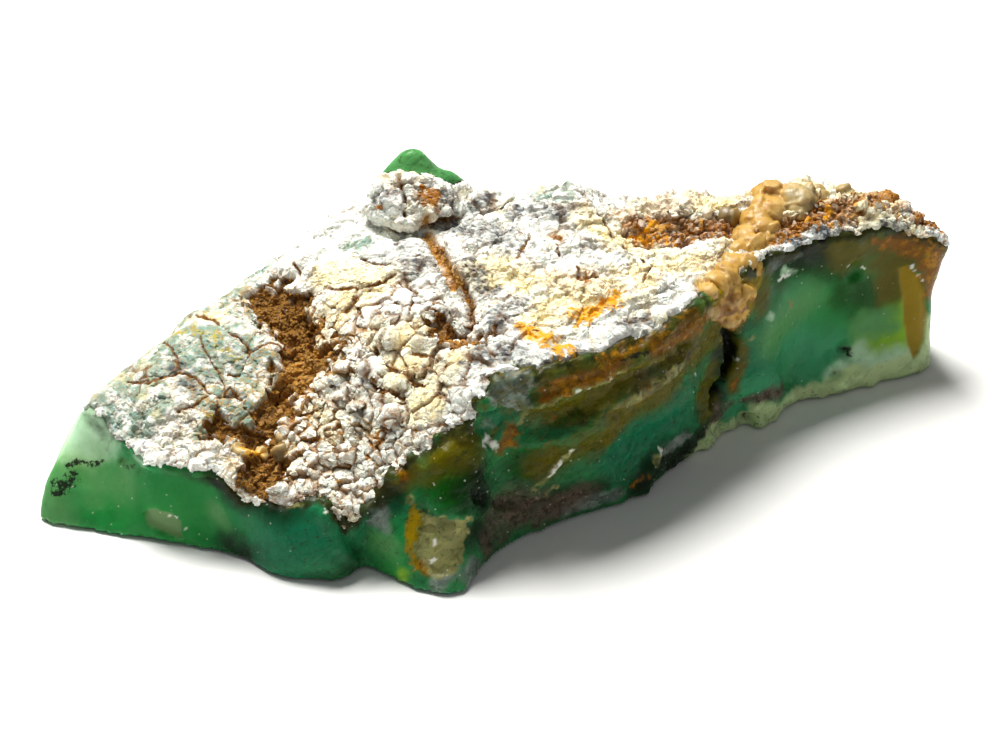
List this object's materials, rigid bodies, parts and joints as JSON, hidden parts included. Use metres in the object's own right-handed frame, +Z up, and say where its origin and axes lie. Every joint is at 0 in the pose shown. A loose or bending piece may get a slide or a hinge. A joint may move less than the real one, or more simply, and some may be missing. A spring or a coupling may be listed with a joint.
{
  "type": "raw chrysoprase",
  "caption": "Rough slab of green chrysoprase with a cracked pale rind on top, a pointed beak at one end and a flat broken underside.",
  "frame": {"origin": "middle of the stone's bounding box, on the surface that it rests on", "axes": "+X along the slab from the pointed beak to the thick block, +Z up through the thickness, -Y towards the long broken green face"},
  "size_m": [0.0832, 0.0412, 0.0227],
  "materials": {
    "green_chalcedony": "waxy, translucent, shell-like fracture",
    "honey_chalcedony": "waxy, translucent, yellow to brown",
    "pale_rind": "rough, chalky, stained with iron",
    "brown_soil": "dull, earthy, in the cracks and hollows"
  },
  "bodies": {
    "root": {"chrysoprase": "green_chalcedony"}
  },
  "joints": []
}
